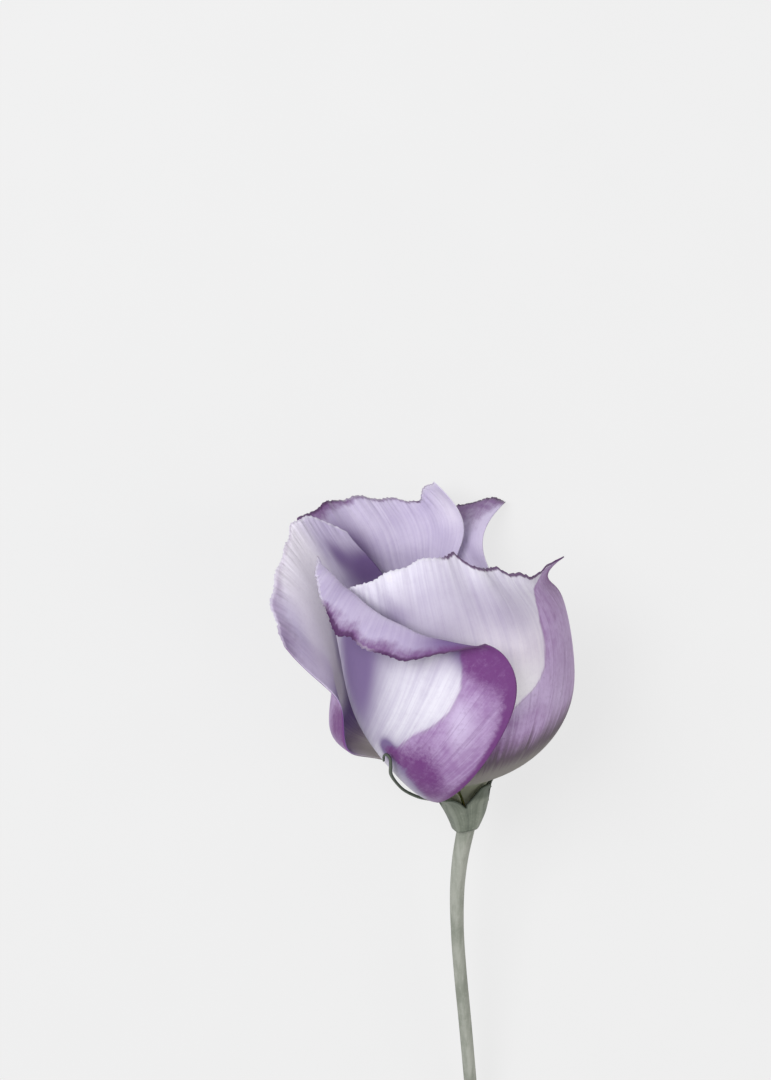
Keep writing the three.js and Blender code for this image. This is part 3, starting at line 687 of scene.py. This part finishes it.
def calyx_mesh():
    """The calyx as a thin sheet: a strip for each sepal, joined to its neighbours as far as the cup goes."""
    calyx = bmesh.new()
    uv = calyx.loops.layers.uv.new("calyx")
    margin = calyx.verts.layers.float.new("from_margin")
    rows = CUP_ROWS + SEPAL_ROWS
    for azimuth, stations in SEPALS:
        stations = [polar(azimuth + turned, radius, height) for turned, radius, height in stations]
        line, length = smooth_line(stations, np.linspace(0, 1, SEPAL_ROWS + 1))
        strip = bmesh.ops.create_grid(calyx, x_segments=SEPAL_COLUMNS, y_segments=rows, size=1)
        for vertex in strip["verts"]:
            x, row = vertex.co.x, round((vertex.co.y + 1) / 2 * rows)
            ridge = KEEL * (1 - abs(x)) ** 1.5
            if row <= CUP_ROWS:
                (radius, height), _ = smooth_line(CUP, row / CUP_ROWS)
                vertex.co = bend_to_stem(polar(azimuth + HALF_SEPAL * x, radius + ridge, height))
                vertex[margin] = 3 if row < CUP_ROWS else (1 - abs(x)) * 3.3
            else:
                step = row - CUP_ROWS
                along = step / SEPAL_ROWS
                middle = Vector(line[step])
                ahead = Vector(line[min(step + 1, SEPAL_ROWS)] - line[step - 1])
                outward = middle.to_2d().normalized().to_3d()
                sideways = ahead.cross(outward).normalized()
                taper = 1 - along * length / SEPAL_TAPER
                blade = math.radians(HALF_SEPAL) * CUP[-1][0] * taper
                width = max(NEEDLE * (1 - 0.6 * along ** 8), blade)
                radius = middle.to_2d().length
                swing = x * width * outward.cross(sideways).z / radius
                angle = math.degrees(math.atan2(middle.y, middle.x) + swing)
                height = middle.z + x * width * sideways.z
                vertex.co = bend_to_stem(polar(angle, radius + ridge * (1 - along), height))
                vertex[margin] = (1 - abs(x)) * width
            for loop in vertex.link_loops:
                loop[uv].uv = (x, row / rows)
    bmesh.ops.remove_doubles(calyx, verts=calyx.verts, dist=0.01)
    bmesh.ops.recalc_face_normals(calyx, faces=calyx.faces)
    return calyx


LEAF_GREEN, PALE_LEAF_GREEN, LEAF_WAX = (0.10, 0.12, 0.088), (0.185, 0.205, 0.16), (0.40, 0.42, 0.36)
KEEL_GREEN, FURROW_GREEN, DARK_GREEN = (0.34, 0.36, 0.30), (0.055, 0.07, 0.05), (0.045, 0.06, 0.04)


def calyx_skin():
    skin = Skin("calyx_skin")
    across, along = skin.uv_place("calyx")
    spot = skin.object_place()
    margin = skin.attribute("from_margin")
    fibre = skin.noise(skin.vector(across * 9, along * 3), 1, 3, 0.6)
    cloud = skin.noise(spot, 260, 2)
    wax = skin.noise(spot, 1600, 2, 0.6)
    from_keel = abs(across)
    green = skin.mix((fibre * 0.6 + cloud * 0.5).between(0.35, 0.75), LEAF_GREEN, PALE_LEAF_GREEN)
    green = skin.mix(wax.between(0.5, 0.8) * 0.25, green, LEAF_WAX)
    green = skin.mix(from_keel.between(0.3, 0.0) * 0.35, green, KEEL_GREEN)
    green = skin.mix(from_keel.between(0.75, 1.0) * 0.45, green, FURROW_GREEN)
    # Dark along the sepals' free edges: partly their own dark margin, partly painted shade of the gap beside
    # them.
    green = skin.mix(margin.between(0.4, 0.12) * 0.8, green, DARK_GREEN)
    green = skin.mix(along.between(0.3, 0.5) * 0.6, green, DARK_GREEN)
    skin.set(Base_Color=green, Roughness=0.48 + 0.15 * cloud, Specular_IOR_Level=0.4)
    skin.bump(fibre + wax * 0.3, 0.4, 0.0002)
    return skin.material


calyx = settle("calyx_cup", calyx_mesh(), calyx_skin(), ["calyx"])
calyx_wall = calyx.modifiers.new("wall", "SOLIDIFY")
calyx_wall.thickness = SEPAL_BLADE / 1000
calyx_wall.offset = 0


# Stem
# A thin bare stalk, cut square at its end. It thickens under the calyx and carries the petals, stamens and
# pistil on its domed top. Its skin is grey-green, with faint ridges along it and a waxy film.
# The stalk's line is measured from the receptacle, in the flower's frame. It goes on from the axis of the
# bloom, and the rings give its radius at lengths along it.
AXIS_HEIGHTS = [-5.65, -6.6, -8.2, -9.8]
STALK = [
    (-0.3, -17.5, -3.8), (-0.9, -26, -5.7), (-0.7, -36, -7.9), (0.1, -46.5, -10.2),
    (1.4, -60, -13.2), (3.5, -84, -18.6), (5.4, -108, -23.88),
]
STEM_CUT = 103.5
STEM_RINGS = [(0, 3.6), (1.6, 3), (3.4, 2.2), (4.2, 2), (9, 1.85), (18, 1.65), (30, 1.45), (STEM_CUT, 1.4)]
STEM_SIDES = 32
STEM_STEP = 0.8
STEM_RIBS, RIB_HEIGHT = 5, 0.06


def tube(mesh, line, radii, sides, ribs=0, rib_height=0.0):
    """A closed round tube along a line of points, drawn ring by ring."""
    line = [Vector(point) for point in line]
    across = (line[1] - line[0]).orthogonal()
    ring = bmesh.ops.create_circle(mesh, cap_ends=True, radius=1, segments=sides)["verts"]
    for i, (point, radius) in enumerate(zip(line, radii)):
        ahead = (line[min(i + 1, len(line) - 1)] - line[max(i - 1, 0)]).normalized()
        across = (across - ahead * across.dot(ahead)).normalized()
        beside = ahead.cross(across)
        if i:
            edges = {e for v in ring for e in v.link_edges if e.other_vert(v) in ring}
            lid = bmesh.ops.extrude_edge_only(mesh, edges=list(edges))["geom"]
            new = [item for item in lid if isinstance(item, bmesh.types.BMVert)]
            order = {v: n for n, v in enumerate(ring)}
            ring = sorted(new, key=lambda v: min((order[e.other_vert(v)] for e in v.link_edges
                                                  if e.other_vert(v) in order), default=0))
        for side, vertex in enumerate(ring):
            angle = 2 * math.pi * side / sides
            out = radius + rib_height * math.cos(ribs * angle)
            vertex.co = point + (across * math.cos(angle) + beside * math.sin(angle)) * out
    bmesh.ops.contextual_create(mesh, geom=ring)


STALK_GREEN, PALE_STALK_GREEN = (0.20, 0.215, 0.175), (0.31, 0.32, 0.275)
STALK_WAX = (0.45, 0.46, 0.42)


def stem_skin():
    skin = Skin("stem_skin")
    spot = skin.object_place()
    drawn_out = skin.add("ShaderNodeMapping", {}, spot, (0, 0, 0), (0, 0, 0), (900, 26, 900))
    fibre = skin.noise(drawn_out, 1, 3, 0.6)
    cloud = skin.noise(spot, 120, 3)
    wax = skin.noise(spot, 1500, 2, 0.6)
    green = skin.mix((fibre * 0.55 + cloud * 0.55).between(0.4, 0.7), STALK_GREEN, PALE_STALK_GREEN)
    green = skin.mix(wax.between(0.5, 0.8) * 0.2, green, STALK_WAX)
    skin.set(Base_Color=green, Roughness=0.5 + 0.15 * cloud, Specular_IOR_Level=0.35)
    skin.bump(fibre + wax * 0.2, 0.35, 0.0002)
    return skin.material


stem = bmesh.new()
axis = bend_to_stem(np.array([(0, 0, height) for height in AXIS_HEIGHTS], float))
stations = [*(bloom_turn @ Vector(point) for point in axis), *STALK]
stem_places = np.arange(0, STEM_CUT + 0.01, STEM_STEP)
_, stem_length = smooth_line(stations, [0])
stem_line, _ = smooth_line(stations, stem_places / stem_length)
tube(stem, stem_line, np.interp(stem_places, *zip(*STEM_RINGS)), STEM_SIDES, STEM_RIBS, RIB_HEIGHT)
bmesh.ops.recalc_face_normals(stem, faces=stem.faces)
stem_place = Matrix.Translation(RECEPTACLE / 1000) @ Matrix.Scale(0.001, 4)
bmesh.ops.transform(stem, matrix=stem_place, verts=stem.verts)
keep("stem_stalk", stem, stem_skin(), ["stem"])


# Pistil
# The ovary, style and two-lobed stigma in the middle of the bloom. It grew as one smooth, pale green organ,
# and stands on the receptacle. Its line is (radius, height).
PISTIL = [(1.6, -5), (1.8, -3), (2.3, 0), (2.8, 3), (3, 6), (2.7, 9), (1.7, 12), (0.8, 14), (0.6, 18),
          (0.6, 25)]
PISTIL_RINGS, PISTIL_SIDES = 40, 24
LOBE = {"size": (1.9, 1.2, 1.1), "spread": 1.2, "height": 25.6, "lean": 0.35}


def organ_skin(name, dark, light, bump):
    skin = Skin(name)
    spot = skin.object_place()
    cloud = skin.noise(spot, 300, 3)
    grain = skin.noise(spot, 2600, 2, 0.6)
    skin.set(
        Base_Color=skin.mix((cloud * 0.6 + grain * 0.4).between(0.3, 0.7), dark, light),
        Roughness=0.45 + 0.25 * grain,
        Specular_IOR_Level=0.35,
    )
    skin.bump(grain + cloud, bump, 0.0002)
    return skin.material


pistil = bmesh.new()
profile, _ = smooth_line(PISTIL, np.linspace(0, 1, PISTIL_RINGS))
tube(pistil, [(0, 0, height) for _, height in profile], profile[:, 0], PISTIL_SIDES)
for side in (-1, 1):
    lobe = bmesh.ops.create_uvsphere(pistil, u_segments=20, v_segments=12, radius=1)["verts"]
    place = (Matrix.Translation((side * LOBE["spread"], 0, LOBE["height"]))
             @ Matrix.Rotation(side * LOBE["lean"], 4, "Y") @ Matrix.Diagonal((*LOBE["size"], 1)))
    bmesh.ops.transform(pistil, matrix=place, verts=lobe)
bmesh.ops.recalc_face_normals(pistil, faces=pistil.faces)
pistil_skin = organ_skin("pistil_skin", (0.30, 0.36, 0.13), (0.52, 0.55, 0.26), 0.3)
settle("pistil_body", pistil, pistil_skin, ["pistil"])


# Stamens
# Five thin filaments round the ovary, joined by a low ring at their feet. Each ends in a plump yellow
# anther that sheds fine pollen. A filament's line is (radius from the axis, height).
STAMENS = 5
FILAMENT = [(2.38, -4.6), (2.85, -2), (3.35, 1), (4.4, 6), (5.5, 12), (6.3, 17.5)]
FILAMENT_FOOT, FILAMENT_TIP = 0.36, 0.24
FILAMENT_RINGS, FILAMENT_SIDES = 30, 12
ANTHER, ANTHER_LEAN = (0.85, 0.85, 2.1), math.radians(25)
RING_RADIUS, RING_HEIGHT, RING_THICKNESS = 2.38, -4.5, 0.8
stamens = bmesh.new()
upright = Matrix.Rotation(math.pi / 2, 4, "X")
ring = bmesh.ops.create_circle(stamens, radius=RING_THICKNESS / 2, segments=12, matrix=upright)
bmesh.ops.translate(stamens, vec=(RING_RADIUS, 0, RING_HEIGHT), verts=ring["verts"])
bmesh.ops.spin(stamens, geom=[*stamens.verts, *stamens.edges], axis=(0, 0, 1), cent=(0, 0, 0),
               angle=2 * math.pi, steps=60, use_merge=True)
for stamen in range(STAMENS):
    azimuth = 360 / STAMENS * stamen - 90
    stations = [polar(azimuth, radius, height) for radius, height in FILAMENT]
    line, _ = smooth_line(stations, np.linspace(0, 1, FILAMENT_RINGS))
    radii = np.linspace(FILAMENT_FOOT, FILAMENT_TIP, FILAMENT_RINGS)
    tube(stamens, line, radii, FILAMENT_SIDES)
    anther = bmesh.ops.create_uvsphere(stamens, u_segments=16, v_segments=10, radius=1)["verts"]
    place = (Matrix.Translation(line[-1]) @ Matrix.Rotation(math.radians(azimuth), 4, "Z")
             @ Matrix.Rotation(ANTHER_LEAN, 4, "Y") @ Matrix.Diagonal((*ANTHER, 1)))
    bmesh.ops.transform(stamens, matrix=place, verts=anther)
bmesh.ops.recalc_face_normals(stamens, faces=stamens.faces)
stamen_skin = organ_skin("stamen_skin", (0.55, 0.42, 0.12), (0.80, 0.68, 0.32), 0.5)
settle("stamens_ring", stamens, stamen_skin, ["stamens"])
